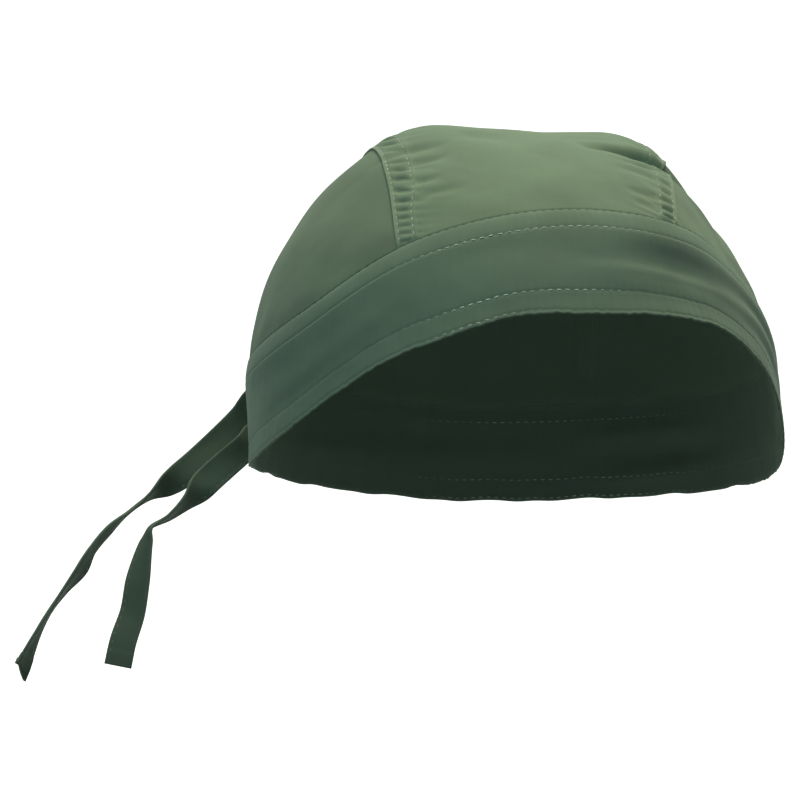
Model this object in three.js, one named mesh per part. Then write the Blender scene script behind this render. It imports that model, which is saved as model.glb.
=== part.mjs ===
// Headwrap: a close-fitting cloth cap of three crown panels on a doubled head band, with two narrow ties.
// Millimetres, +Z up, front facing -Y. The origin is the middle of the head opening, level with the nape.

import * as THREE from 'three';
import { mergeVertices } from 'three/addons/utils/BufferGeometryUtils.js';

// Head form that the cloth follows: a rounded dome on a rounded oval
const HALF_WIDTH = 88;
const HALF_LENGTH_FRONT = 97;
const HALF_LENGTH_BACK = 101;
const OVAL_POWER = 2.15; // 2 is an ellipse, more is squarer
const DOME_POWER = 2.36;
const WIDEST_LEVEL = 12; // height of the widest level above the nape edge
const DOME_HEIGHT = 110.5; // widest level to the top of the form
const LOWER_DEPTH = 90; // depth at which the form would close below the widest level

// Cloth and seams
const CROWN_THICKNESS = 1.2;
const BAND_THICKNESS = 2;
const BAND_PROUD = 0.5; // the band's outer face stands this far off the crown's
const BAND_WIDTH = 35;
const SEAM_GAP = 0.35;

// Long edges of the centre panel: distance from the middle over the top of the head, and where each edge
// would meet the widest level in front and behind. The panel has slipped towards the right over the top.
const PANEL_EDGES = {
  left: { top: 42, front: 50.5, back: 46 },
  right: { top: 47, front: 39.5, back: 46 },
};

// Rim all round: the angle runs from the front (0) to the right (90) and to the back (180).
// height is that of the edge, flare how far it stands out from the head form (less than 0 is tucked in).
const RIM_STEP = 30;
const RIM = [
  { angle: -180, height: 0, flare: 0 },
  { angle: -150, height: 6.5, flare: -1.5 },
  { angle: -120, height: 14, flare: -3.5 },
  { angle: -90, height: 18, flare: -4.5 },
  { angle: -60, height: 29.5, flare: -4.5 },
  { angle: -30, height: 51.5, flare: -6 },
  { angle: 0, height: 61, flare: -4.5 },
  { angle: 30, height: 57, flare: -3 },
  { angle: 60, height: 40.5, flare: -4 },
  { angle: 90, height: 11, flare: 0.8 },
  { angle: 120, height: 2.5, flare: 2.5 },
  { angle: 150, height: -0.5, flare: 0.8 },
];
const FLARE_REACH = 35; // height over which a flare fades into the crown

// Folds and dents of the crown: middle and reach in plan, and the height raised (less than 0 is pressed in)
const FOLDS = [
  { fold: 'hollow along the top', x: 4, y: -5, reachX: 23.5, reachY: 45, raised: -1.5 },
  { fold: 'swell left of the top', x: -27, y: -12, reachX: 19, reachY: 35, raised: 4.2 },
  { fold: 'left seam shoulder', x: -50, y: -8, reachX: 14, reachY: 40, raised: 1.2 },
  { fold: 'right seam shoulder', x: 41.5, y: -8, reachX: 16, reachY: 30, raised: 4.2 },
  { fold: 'flat right side', x: 63, y: -8, reachX: 18, reachY: 50, raised: -5 },
  { fold: 'crease at the right seam', x: 38, y: -36, reachX: 15, reachY: 5, raised: -3.2 },
  { fold: 'lip under the crease', x: 40, y: -45, reachX: 14, reachY: 6, raised: 0.9 },
];
const FOLD_LEVEL = 60; // folds fade out below this height
const FOLD_FADE = 6;

// Ties, caught in an upright seam of the band at the back left. rootRise is the height up the band;
// turn is the twist out of the upright plane that faces the front, in degrees; slant skews the cut end.
const TIE_ANGLE = -127;
const TIE_WIDTH = 9.5;
const TIE_THICKNESS = 1.2;
const TIE_ROOT_LEAD = 3; // straight stretch out of the seam
const TIE_ROOT_DROP = 0.3; // how far that stretch already droops
const TIES = [
  {
    name: 'tie_far',
    rootRise: 25.5,
    slant: -3,
    path: [
      { x: -80.5, y: 58, z: 32, turn: 0 },
      { x: -88, y: 56.5, z: 25, turn: 0 },
      { x: -100, y: 54, z: 15, turn: 0 },
      { x: -107, y: 52.5, z: 10.5, turn: 30 },
      { x: -113, y: 52, z: 7, turn: 72 },
      { x: -120, y: 51, z: 2, turn: 86 },
      { x: -127, y: 49.5, z: -3.5, turn: 76 },
      { x: -133, y: 48.5, z: -10, turn: 73 },
      { x: -137, y: 47.5, z: -16.5, turn: 60 },
      { x: -143, y: 47, z: -23.5, turn: 74 },
      { x: -148, y: 46, z: -30, turn: 83 },
      { x: -152.5, y: 45.5, z: -37.5, turn: 78 },
      { x: -158, y: 44.5, z: -48.5, turn: 51 },
    ],
  },
  {
    name: 'tie_near',
    rootRise: 14,
    slant: 0,
    path: [
      { x: -81, y: 50, z: 22, turn: 8 },
      { x: -88.5, y: 48, z: 16, turn: 0 },
      { x: -94.5, y: 47, z: 11, turn: 0 },
      { x: -101, y: 46, z: 5, turn: 56 },
      { x: -107.5, y: 45, z: 0, turn: 73 },
      { x: -114, y: 44, z: -3.5, turn: 84 },
      { x: -115.5, y: 43.5, z: -7.5, turn: 106 },
      { x: -117, y: 43, z: -12.5, turn: 123 },
      { x: -119, y: 42, z: -21, turn: 145 },
      { x: -121, y: 41.5, z: -31, turn: 145 },
      { x: -124.5, y: 40.5, z: -40.5, turn: 151 },
      { x: -126.5, y: 40, z: -48.5, turn: 157 },
    ],
  },
];

// Faces along each piece
const BAND_STEPS = { around: 84, up: 6 };
const CENTRE_STEPS = { across: 14, along: 44 };
const SIDE_STEPS = 10;
const TIE_STEPS_PER_ROW = 4;
const HALVINGS = 36; // steps of each root search
const RIM_SEARCH = [-1, 1.3]; // elevations, in radians, between which the rim lies
const ARCH_MARGIN = 0.05; // the search for a panel's ends keeps this far off the level of the centre
const LEAN_LIMIT = 1.2; // furthest lean of a panel's edge from the middle
const SLOPE_STEP = 1e-3; // half step for the slope of the cloth
const CLIMB_STEP = 0.01; // step of elevation when measuring up the cloth
const WELD = 1e-4;

const FORM_CENTRE = new THREE.Vector3(0, 0, WIDEST_LEVEL);
const radians = THREE.MathUtils.degToRad;

// Value of a rim column at an angle in radians, by a smooth closed curve through the rows
function alongRim(column, angle) {
  const place = THREE.MathUtils.radToDeg(angle) / RIM_STEP + RIM.length / 2;
  const row = Math.floor(place);
  const t = place - row;
  const at = (k) => RIM[(row + k + 2 * RIM.length) % RIM.length][column];
  const [a, b, c, d] = [at(-1), at(0), at(1), at(2)];
  return b + 0.5 * t * (c - a + t * (2 * a - 5 * b + 4 * c - d + t * (3 * (b - c) + d - a)));
}

// Root of a function that is above 0 at low and below 0 at high
function findCrossing(excess, low, high) {
  for (let k = 0; k < HALVINGS; k += 1) {
    const middle = (low + high) / 2;
    if (excess(middle) > 0) low = middle;
    else high = middle;
  }
  return (low + high) / 2;
}

// Unit direction from the form's centre, by angle round the head and elevation
function towards(angle, elevation) {
  const level = Math.cos(elevation);
  return new THREE.Vector3(level * Math.sin(angle), -level * Math.cos(angle), Math.sin(elevation));
}

const angleOf = (dir) => Math.atan2(dir.x, -dir.y);
const elevationOf = (dir) => Math.atan2(dir.z, Math.hypot(dir.x, dir.y));

// Distance from the form's centre to the plain head form
function formReach(dir) {
  const length = dir.y < 0 ? HALF_LENGTH_FRONT : HALF_LENGTH_BACK;
  const height = dir.z > 0 ? DOME_HEIGHT : LOWER_DEPTH;
  const oval = Math.abs(dir.x / HALF_WIDTH) ** OVAL_POWER + Math.abs(dir.y / length) ** OVAL_POWER;
  const gauge = oval ** (DOME_POWER / OVAL_POWER) + Math.abs(dir.z / height) ** DOME_POWER;
  return gauge ** (-1 / DOME_POWER);
}

// Point on the outside of the cloth: the head form, raised by its folds and flared at its rim
function clothPoint(dir) {
  const reach = formReach(dir);
  const height = dir.z * reach + WIDEST_LEVEL;
  const foldShare = 1 / (1 + Math.exp((FOLD_LEVEL - height) / FOLD_FADE));
  let raised = 0;
  for (const fold of FOLDS) {
    const across = (dir.x * reach - fold.x) / fold.reachX;
    const along = (dir.y * reach - fold.y) / fold.reachY;
    raised += fold.raised * Math.exp(-across * across - along * along);
  }
  const angle = angleOf(dir);
  const rise = Math.max(height - alongRim('height', angle), 0) / FLARE_REACH;
  const flare = alongRim('flare', angle) * Math.exp(-rise * rise);
  const point = dir.clone().multiplyScalar(reach + raised * foldShare);
  point.x += flare * Math.sin(angle);
  point.y -= flare * Math.cos(angle);
  return point.add(FORM_CENTRE);
}

// Outward normal of the cloth, from two short steps across it
function clothNormal(dir) {
  const side = new THREE.Vector3(-dir.y, dir.x, 0);
  if (side.lengthSq() < SLOPE_STEP * SLOPE_STEP) side.set(1, 0, 0);
  side.normalize();
  const up = new THREE.Vector3().crossVectors(dir, side);
  const slope = (way) => {
    const ahead = clothPoint(dir.clone().addScaledVector(way, SLOPE_STEP).normalize());
    return ahead.sub(clothPoint(dir.clone().addScaledVector(way, -SLOPE_STEP).normalize()));
  };
  return slope(side).cross(slope(up)).normalize();
}

// Elevation of the rim at an angle
function rimElevation(angle) {
  const height = alongRim('height', angle);
  const excess = (elevation) => height - clothPoint(towards(angle, elevation)).z;
  return findCrossing(excess, ...RIM_SEARCH);
}

// Elevation of the point that lies a given distance up the cloth from the rim
function elevationAbove(angle, distance) {
  let elevation = rimElevation(angle);
  let point = clothPoint(towards(angle, elevation));
  let left = distance;
  for (;;) {
    const next = clothPoint(towards(angle, elevation + CLIMB_STEP));
    const length = next.distanceTo(point);
    if (length >= left) return elevation + (CLIMB_STEP * left) / length;
    left -= length;
    elevation += CLIMB_STEP;
    point = next;
  }
}

// Closed wall between two offsets from the cloth surface, over a grid of directions.
// The grid runs to the right as seen from outside with u and upwards with v; wrap joins its two ends.
function clothWall({ steps, direction, outer, inner, wrap = false }) {
  const [columns, rows] = steps;
  const faces = [outer, inner].map(() => []);
  for (let i = 0; i <= columns; i += 1) {
    for (let j = 0; j <= rows; j += 1) {
      const dir = direction(wrap && i === columns ? 0 : i / columns, j / rows);
      const normal = clothNormal(dir);
      const point = clothPoint(dir);
      [outer, inner].forEach((offset, k) => faces[k].push(point.clone().addScaledVector(normal, offset)));
    }
  }
  const out = (i, j) => faces[0][i * (rows + 1) + j];
  const into = (i, j) => faces[1][i * (rows + 1) + j];
  const corners = [];
  const quad = (a, b, c, d) => corners.push(a, b, c, a, c, d);
  for (let i = 0; i < columns; i += 1) {
    for (let j = 0; j < rows; j += 1) {
      quad(out(i, j), out(i + 1, j), out(i + 1, j + 1), out(i, j + 1));
      quad(into(i, j), into(i, j + 1), into(i + 1, j + 1), into(i + 1, j));
    }
    quad(out(i + 1, 0), out(i, 0), into(i, 0), into(i + 1, 0));
    quad(out(i, rows), out(i + 1, rows), into(i + 1, rows), into(i, rows));
  }
  for (let j = 0; j < rows && !wrap; j += 1) {
    quad(out(0, j), out(0, j + 1), into(0, j + 1), into(0, j));
    quad(out(columns, j + 1), out(columns, j), into(columns, j), into(columns, j + 1));
  }
  return weldedGeometry(corners);
}

// Indexed geometry from triangle corners, with shared corners joined and empty triangles left out
function weldedGeometry(corners) {
  const loose = new THREE.BufferGeometry().setFromPoints(corners);
  const welded = mergeVertices(loose, WELD);
  const index = welded.getIndex().array;
  const kept = [];
  for (let k = 0; k < index.length; k += 3) {
    const [a, b, c] = index.slice(k, k + 3);
    if (a !== b && b !== c && c !== a) kept.push(a, b, c);
  }
  welded.setIndex(kept);
  welded.computeVertexNormals();
  return welded;
}

// Mesh of one piece in its own cotton cloth
function clothMesh(name, geometry, color) {
  const cotton = new THREE.MeshStandardMaterial({ color, roughness: 0.92, metalness: 0 });
  const mesh = new THREE.Mesh(geometry, cotton);
  mesh.name = name;
  return mesh;
}

// Head band: a doubled strip of even width, all round above the rim
function headBand() {
  return clothWall({
    steps: [BAND_STEPS.around, BAND_STEPS.up],
    wrap: true,
    outer: BAND_PROUD,
    inner: BAND_PROUD - BAND_THICKNESS,
    direction: (u, v) => {
      const angle = (2 * u - 1) * Math.PI;
      return towards(angle, elevationAbove(angle, v * BAND_WIDTH));
    },
  });
}

const crownWall = { outer: 0, inner: -CROWN_THICKNESS };
const crownEdge = (angle) => elevationAbove(angle, BAND_WIDTH + SEAM_GAP);

// Distance of a long edge of the centre panel from the middle, where the arch from front to back has turned
// by a given angle. side is 1 on the right, -1 on the left
function edgeDistance(arch, side) {
  const { top, front, back } = side > 0 ? PANEL_EDGES.right : PANEL_EDGES.left;
  const end = arch < Math.PI / 2 ? front : back;
  return top + (end - top) * Math.cos(arch) ** 2;
}

// Direction on the arch from front (0) to back (pi), leaning sideways
function overHead(arch, lean) {
  const level = Math.cos(lean);
  return new THREE.Vector3(Math.sin(lean), -level * Math.cos(arch), level * Math.sin(arch));
}

// Lean at which an edge of the centre panel lies, moved out by a margin
function edgeLean(arch, side, margin) {
  const distance = edgeDistance(arch, side) + margin;
  return findCrossing((lean) => distance - Math.sin(lean) * formReach(overHead(arch, lean)), 0, LEAN_LIMIT);
}

// Arch angles at which a line over the head meets the crown's lower edge, at the front and at the back
function archEnds(line) {
  const depth = (arch) => crownEdge(angleOf(line(arch))) - elevationOf(line(arch));
  const top = Math.PI / 2;
  const front = findCrossing(depth, ARCH_MARGIN, top);
  const back = findCrossing((arch) => -depth(arch), top, Math.PI - ARCH_MARGIN);
  return [front, back];
}

// Centre panel: a strip over the head from the band's front to its back
function centrePanel() {
  const reach = (arch, side) => edgeLean(arch, side, -SEAM_GAP / 2);
  const place = (arch, across) => overHead(arch, across * reach(arch, Math.sign(across)));
  const ends = [];
  for (let i = 0; i <= CENTRE_STEPS.across; i += 1) {
    ends.push(archEnds((arch) => place(arch, (2 * i) / CENTRE_STEPS.across - 1)));
  }
  return clothWall({
    ...crownWall,
    steps: [CENTRE_STEPS.across, CENTRE_STEPS.along],
    direction: (u, v) => {
      const [front, back] = ends[Math.round(u * CENTRE_STEPS.across)];
      return place(THREE.MathUtils.lerp(front, back, v), 2 * u - 1);
    },
  });
}

// Side panel: the rest of the crown, ruled from the band up to the edge of the centre panel
function sidePanel(side) {
  const edge = (arch) => overHead(arch, side * edgeLean(arch, side, SEAM_GAP / 2));
  const [front, back] = archEnds((arch) => edge(arch));
  const corners = [front, back].map((arch) => angleOf(edge(arch)));
  return clothWall({
    ...crownWall,
    steps: [CENTRE_STEPS.along, SIDE_STEPS],
    direction: (u, v) => {
      const forward = side > 0 ? u : 1 - u;
      const angle = THREE.MathUtils.lerp(corners[0], corners[1], forward);
      const low = towards(angle, crownEdge(angle));
      const high = edge(THREE.MathUtils.lerp(front, back, forward));
      const isCorner = u === 0 || u === 1;
      return isCorner ? high : low.lerp(high, v).normalize();
    },
  });
}

// Point off the band's outer face by the seam gap, on the line from the form's centre through a point
function besideBand(point) {
  const dir = point.clone().sub(FORM_CENTRE).normalize();
  return clothPoint(dir).addScaledVector(clothNormal(dir), BAND_PROUD + SEAM_GAP);
}

// Tie: a flat strip along a free curve, twisting as its rows say, from its seam in the band
function tie({ rootRise, slant, path }) {
  const angle = radians(TIE_ANGLE);
  const rootDir = towards(angle, elevationAbove(angle, rootRise));
  const root = besideBand(clothPoint(rootDir));
  const lead = root.clone().addScaledVector(clothNormal(rootDir), TIE_ROOT_LEAD);
  lead.z -= TIE_ROOT_DROP;
  const middles = [root, lead, ...path.map((row) => new THREE.Vector3(row.x, row.y, row.z))];
  const turns = [0, 0, ...path.map((row) => radians(row.turn))];
  const curve = new THREE.CatmullRomCurve3(middles);
  const twist = new THREE.CatmullRomCurve3(turns.map((turn, k) => new THREE.Vector3(k, turn, 0)));
  const steps = (middles.length - 1) * TIE_STEPS_PER_ROW;
  const rings = [];
  for (let k = 0; k <= steps; k += 1) {
    const along = curve.getTangent(k / steps);
    const toFront = new THREE.Vector3(0, -1, 0);
    toFront.addScaledVector(along, -toFront.dot(along)).normalize();
    const turn = twist.getPoint(k / steps).y;
    const thick = toFront.applyAxisAngle(along, -turn);
    const wide = new THREE.Vector3().crossVectors(along, thick);
    const middle = curve.getPoint(k / steps);
    const skew = k === steps ? slant : 0;
    rings.push([[1, 1], [1, -1], [-1, -1], [-1, 1]].map(([w, t]) => {
      const corner = middle.clone().addScaledVector(wide, (w * TIE_WIDTH) / 2);
      corner.addScaledVector(thick, (t * TIE_THICKNESS) / 2).addScaledVector(along, w * skew);
      return k === 0 ? besideBand(corner) : corner;
    }));
  }
  const corners = [];
  const quad = (a, b, c, d) => corners.push(a, b, c, a, c, d);
  for (let k = 0; k < steps; k += 1) {
    for (let s = 0; s < 4; s += 1) {
      const next = (s + 1) % 4;
      quad(rings[k][s], rings[k][next], rings[k + 1][next], rings[k + 1][s]);
    }
  }
  quad(...rings[0].toReversed());
  quad(...rings[steps]);
  return weldedGeometry(corners);
}

const headwrap = new THREE.Group();
headwrap.add(clothMesh('crown_center_panel', centrePanel(), 0x7d8f74));
headwrap.add(clothMesh('crown_side_panel_left', sidePanel(-1), 0x586a59));
headwrap.add(clothMesh('crown_side_panel_right', sidePanel(1), 0x70806c));
headwrap.add(clothMesh('head_band', headBand(), 0x4f6454));
for (const spec of TIES) {
  headwrap.add(clothMesh(spec.name, tie(spec), 0x34473d));
}

export default headwrap;
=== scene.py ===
import bpy
import numpy as np
from mathutils import Matrix
from numpy import cos, exp, pi, sin


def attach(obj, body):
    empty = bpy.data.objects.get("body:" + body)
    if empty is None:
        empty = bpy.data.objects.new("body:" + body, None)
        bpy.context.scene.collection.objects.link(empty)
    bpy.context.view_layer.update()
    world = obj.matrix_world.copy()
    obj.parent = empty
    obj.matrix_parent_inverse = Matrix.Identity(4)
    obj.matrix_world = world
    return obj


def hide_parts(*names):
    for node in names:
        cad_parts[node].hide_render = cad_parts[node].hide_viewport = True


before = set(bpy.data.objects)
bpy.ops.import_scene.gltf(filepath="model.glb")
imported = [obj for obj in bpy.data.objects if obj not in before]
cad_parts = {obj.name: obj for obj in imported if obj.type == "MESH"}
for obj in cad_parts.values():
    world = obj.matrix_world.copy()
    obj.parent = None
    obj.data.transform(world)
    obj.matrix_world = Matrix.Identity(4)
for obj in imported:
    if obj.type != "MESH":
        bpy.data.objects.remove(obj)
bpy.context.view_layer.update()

# Head band: a strip of olive cotton poplin, folded double, that goes round the head, arches over the brow
# and runs low at the nape. Its upper edge is sewn to the crown and topstitched, and its hem has two rows.
MM = 0.001

# the head-like form that all the cloth lies on: half sizes, roundness in plan and upright, widest level
HALF_WIDTH = 88 * MM
HALF_LENGTH_FRONT = 97 * MM
HALF_LENGTH_BACK = 101 * MM
DOME_HEIGHT = 110.5 * MM
LOWER_DEPTH = 90 * MM
OVAL_POWER = 2.15
DOME_POWER = 2.36
WIDEST_LEVEL = 12 * MM

# the rim every 30 degrees, from the back round by the left, the front and the right
RIM_STEP = np.radians(30)
RIM_HEIGHT = np.array([0, 6.5, 14, 18, 29.5, 51.5, 61, 57, 40.5, 11, 2.5, -0.5]) * MM
RIM_FLARE = np.array([0, -1.5, -3.5, -4.5, -4.5, -6, -4.5, -3, -4, 0.8, 2.5, 0.8]) * MM
FLARE_REACH = 35 * MM

# broad folds of the crown in plan: x and y of the middle, reach in x and y, height raised
CROWN_FOLDS = np.array([
    [4, -5, 23.5, 45, -1.5],
    [-27, -12, 19, 35, 4.2],
    [-50, -8, 14, 40, 1.2],
    [41.5, -8, 16, 30, 4.2],
    [63, -8, 18, 50, -5],
    [38, -36, 15, 5, -3.2],
    [40, -45, 14, 6, 0.9],
]) * MM
FOLD_LEVEL = 60 * MM
FOLD_FADE = 6 * MM

# searches: limits of the rim's elevation, halvings, steps up from the rim, and the probe for their length
RIM_SEARCH = (-1.0, 1.3)
HALVINGS = 34
CLIMB_STEPS = 8
CLIMB_PROBE = 0.012


def towards(angle, rise):
    """Unit directions from the form's centre: angle from the front round to the right, rise above level."""
    level = cos(rise)
    return np.stack(np.broadcast_arrays(level * sin(angle), -level * cos(angle), sin(rise)), -1)


def form_reach(way):
    """Distance to a rounded dome on a rounded oval: one over the q-th root of
    (|x/width|^p + |y/length|^p)^(q/p) + |z/height|^q, with p the oval's power and q the dome's."""
    x, y, z = np.moveaxis(way, -1, 0)
    length = np.where(y < 0, HALF_LENGTH_FRONT, HALF_LENGTH_BACK)
    height = np.where(z > 0, DOME_HEIGHT, LOWER_DEPTH)
    oval = np.abs(x / HALF_WIDTH) ** OVAL_POWER + np.abs(y / length) ** OVAL_POWER
    return (oval ** (DOME_POWER / OVAL_POWER) + np.abs(z / height) ** DOME_POWER) ** (-1 / DOME_POWER)


def bell(off, half):
    """1 where off is 0, falling away on both sides as exp(-(off / half)^2)."""
    return exp(-(off / half) ** 2)


def along_rim(column, angle):
    """Closed Catmull-Rom curve through a column of the rim, at any angle."""
    place = angle / RIM_STEP + len(column) / 2
    row = np.floor(place).astype(int)
    t = place - row
    a, b, c, d = (column[(row + k) % len(column)] for k in (-1, 0, 1, 2))
    return b + 0.5 * t * (c - a + t * (2 * a - 5 * b + 4 * c - d + t * (3 * (b - c) + d - a)))


def cloth(way):
    """Outside of the smooth cloth: the form's reach, plus every fold as raised * exp(-across^2 - along^2),
    fading out below the folds' level, plus the rim's flare straight out, which fades upwards as a bell."""
    form = way * form_reach(way)[..., None]
    x, y, z = np.moveaxis(form, -1, 0)
    angle = np.arctan2(x, -y)
    height = z + WIDEST_LEVEL
    bells = sum(
        up * exp(-((x - fx) / rx) ** 2 - ((y - fy) / ry) ** 2) for fx, fy, rx, ry, up in CROWN_FOLDS
    )
    raised = bells / (1 + exp((FOLD_LEVEL - height) / FOLD_FADE))
    above = np.maximum(height - along_rim(RIM_HEIGHT, angle), 0)
    flare = along_rim(RIM_FLARE, angle) * bell(above, FLARE_REACH)
    out = np.stack([sin(angle), -cos(angle), np.zeros_like(angle)], -1)
    return form + way * raised[..., None] + out * flare[..., None] + np.array([0, 0, WIDEST_LEVEL])


def halving(low, high, still_low):
    """Value between low and high at which still_low stops being true: the gap is halved again and again."""
    for _ in range(HALVINGS):
        middle = (low + high) / 2
        under = still_low(middle)
        low = np.where(under, middle, low)
        high = np.where(under, high, middle)
    return low


def rise_above(angle, distance):
    """Elevation of the cloth at a distance above its rim: the rim's own elevation is found by halving, then
    climbed in equal steps of length, each divided by how fast the cloth runs there."""
    rim = along_rim(RIM_HEIGHT, angle)
    rise = halving(*RIM_SEARCH, lambda middle: cloth(towards(angle, middle))[..., 2] < rim) + 0 * distance
    for _ in range(CLIMB_STEPS):
        chord = cloth(towards(angle, rise + CLIMB_PROBE)) - cloth(towards(angle, rise))
        rise = rise + distance / CLIMB_STEPS * CLIMB_PROBE / np.linalg.norm(chord, axis=-1)
    return rise


def unit(vectors):
    """Vectors divided by their lengths."""
    return vectors / np.linalg.norm(vectors, axis=-1, keepdims=True)


def surface_normal(place, u, v, du, dv):
    """Unit normals of a surface place(u, v): the cross product of two central differences."""
    across = place(u + du, v) - place(u - du, v)
    upward = place(u, v + dv) - place(u, v - dv)
    return unit(np.cross(across, upward))


def smooth_step(t):
    """0 below 0, 1 above 1, and 3t^2 - 2t^3 between."""
    t = np.clip(t, 0, 1)
    return t * t * (3 - 2 * t)


def turn_from(angle, start):
    """Angle from a start, brought between -pi and pi."""
    return np.angle(exp(1j * (angle - start)))


# the band's own sizes, and heights of its faces over the smooth cloth
BAND_WIDTH = 35 * MM
BAND_RADIUS = 94 * MM
BAND_PROUD = 0.5 * MM
BAND_INSIDE = -1.2 * MM
BAND_PROBE = (2e-3, 0.2 * MM)
RIM_INSIDE = -0.2 * MM
RIM_THINNING = 12 * MM
RIM_BEVEL = 0.5 * MM
EDGE_ROUND = 0.5 * MM
SEAM_STEP = 0.2 * MM
SEAM_RISE = 0.75 * MM
SEAM_EASE = 11 * MM
HEM_RISE = 0.3 * MM
JOIN_ANGLE = np.radians(-127)
JOIN_DITCH = 0.8 * MM
JOIN_HALF = 0.7 * MM

# its rows of stitches, and the dip that each lies in
EDGE_ROW_BELOW = 0.25 * MM
SEAM_ROW_BELOW = 7.1 * MM
HEM_ROW = 7.6 * MM
RIM_ROW = 1.3 * MM
BAND_ROWS = np.array([BAND_WIDTH - EDGE_ROW_BELOW, BAND_WIDTH - SEAM_ROW_BELOW, HEM_ROW, RIM_ROW])
ROW_DIP = 0.12 * MM
ROW_HALF = 0.5 * MM

# ripples beside the rows: height, fade, count in one turn, and sways of their phase: depth, count, start
RIPPLE = 0.05 * MM
RIPPLE_FADE = 1.8 * MM
RIPPLE_COUNT = 173
RIPPLE_SWAYS = [(1.5, 9, 0), (1.2, 23, 1)]

# soft folds along the band, in degrees and millimetres: from and to, height up the band at each end, half
# width above and below that line, raised
BAND_FOLDS = [
    (-10, 66, 17, 16.4, 7, 50, -2.2),
    (12, 48, 21.5, 21, 4, 9, -1.1),
    (-2, 54, 15, 15.2, 1.6, 1.6, 0.3),
    (-12, 64, 5, 4.5, 6, 50, -1.2),
    (-44, 40, -1, -1, 9, 9, -1),
    (30, 86, 16, 17, 2.7, 2.7, 0.6),
    (32, 88, 25.5, 24.5, 2.2, 2.2, 0.5),
    (48, 84, 20.5, 20.5, 2.2, 2.2, -0.5),
    (44, 92, 11, 12, 2, 2, -0.4),
    (-34, 12, 24, 22, 3.6, 3.6, -0.35),
    (-70, -16, 13, 18, 5, 5, 0.4),
    (-86, -40, 8, 11, 3, 3, -0.35),
    (-96, -52, 23, 21, 4, 4, -0.4),
    (112, 166, 23, 22, 3.6, 3.6, -1.2),
    (104, 168, 15, 14, 3, 3, 0.8),
    (118, 162, 8, 7, 4, 4, -1.2),
    (126, 206, 9, 11, 3.2, 3.2, 0.5),
    (150, 222, 23, 21, 3.4, 3.4, 0.55),
    (188, 232, 14, 13, 3.4, 3.4, -0.6),
]
# waves of the rim: height of the wave at the brow and at the nape, waves in one turn, phase
RIM_WAVES = [
    (0.12 * MM, 0.24 * MM, 19, 0.4),
    (0.08 * MM, 0.16 * MM, 37, 1.9),
    (0.06 * MM, 0.04 * MM, 59, 0.7),
    (0.09 * MM, 0, 127, 2.2),
    (0.08 * MM, 0, 173, 1.3),
]
# lifts and drops of the rim: middle and half width in degrees, height
RIM_LIFTS = [
    (40, 16, 2.9 * MM),
    (6, 8, -0.8 * MM),
    (-8, 8, 0.75 * MM),
    (-30, 18, -0.9 * MM),
    (-72, 12, -0.6 * MM),
]
RIM_WAVE_REACH = 11 * MM
NAPE_GROWTH = 1.5
# gathers of the rim at the nape: height, count in one turn, fade, and the sway of their phase: depth, count
GATHER = 0.14 * MM
GATHER_COUNT = 43
GATHER_FADE = 6 * MM
GATHER_SWAY = (2, 11)


def nape(angle):
    """0 over the front half of the head, growing to 1 at the back."""
    return smooth_step(-cos(angle) * NAPE_GROWTH)


def seam_ripple(angle):
    """Uneven ripple round the head, from -1 to 1: a sine whose phase sways twice over."""
    sway = sum(depth * sin(count * angle + start) for depth, count, start in RIPPLE_SWAYS)
    return sin(RIPPLE_COUNT * angle + sway)


def band_place(angle, up):
    """Smooth cloth under the band. Near the rim the height up the band is shifted by the rim's waves and
    lifts, which fade upwards as a bell."""
    behind = nape(angle)
    wave = sum(
        (at_brow + (at_nape - at_brow) * behind) * sin(count * angle + phase)
        for at_brow, at_nape, count, phase in RIM_WAVES
    )
    for middle, half, height in RIM_LIFTS:
        wave = wave + height * bell(turn_from(angle, np.radians(middle)), np.radians(half))
    return cloth(towards(angle, rise_above(angle, up + wave * bell(up, RIM_WAVE_REACH))))


def band_normal(angle, up):
    """Unit normals of the smooth cloth under the band, from small steps round the head and up the band."""
    return surface_normal(band_place, angle, up, *BAND_PROBE)


def band_bend(angle, up):
    """How far both faces of the band are bent off the smooth cloth: every soft fold is a bell across its
    line and a squared cosine along it, and at the nape the rim has gathers that fade upwards."""
    gather = sin(GATHER_COUNT * angle + GATHER_SWAY[0] * sin(GATHER_SWAY[1] * angle))
    bend = nape(angle) * GATHER * gather * exp(-up / GATHER_FADE)
    for start, end, up_start, up_end, half_above, half_below, raised in BAND_FOLDS:
        turn = turn_from(angle, np.radians((start + end) / 2)) / np.radians((end - start) / 2)
        turn = np.clip(turn, -1, 1)
        off = up / MM - (up_start + up_end) / 2 - (up_end - up_start) / 2 * turn
        across = bell(off, np.where(off > 0, half_above, half_below))
        bend = bend + raised * MM * cos(pi / 2 * turn) ** 2 * across
    return bend


def band_face(angle, up):
    """Outer face over the smooth cloth: from the seam it swells as a quarter sine to the topstitching and
    eases back below it, the hem stands out a little, every row of stitches lies in a bell-shaped dip with
    ripples beside it, and a ditch runs up the join at the back left."""
    below = BAND_WIDTH - up
    face = SEAM_STEP + SEAM_RISE * sin(pi / 2 * np.clip(below / SEAM_ROW_BELOW, 0, 1))
    eased = SEAM_STEP + SEAM_RISE - BAND_PROUD
    face = face - eased * smooth_step((below - SEAM_ROW_BELOW) / SEAM_EASE)
    face = face + HEM_RISE * smooth_step(1 - up / HEM_ROW)
    for row in BAND_ROWS:
        face = face - ROW_DIP * bell(up - row, ROW_HALF)
        face = face + RIPPLE * seam_ripple(angle + row) * exp(-np.abs(up - row) / RIPPLE_FADE)
    join = turn_from(angle, JOIN_ANGLE) * BAND_RADIUS
    return band_bend(angle, up) + face - JOIN_DITCH * bell(join, JOIN_HALF)


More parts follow.
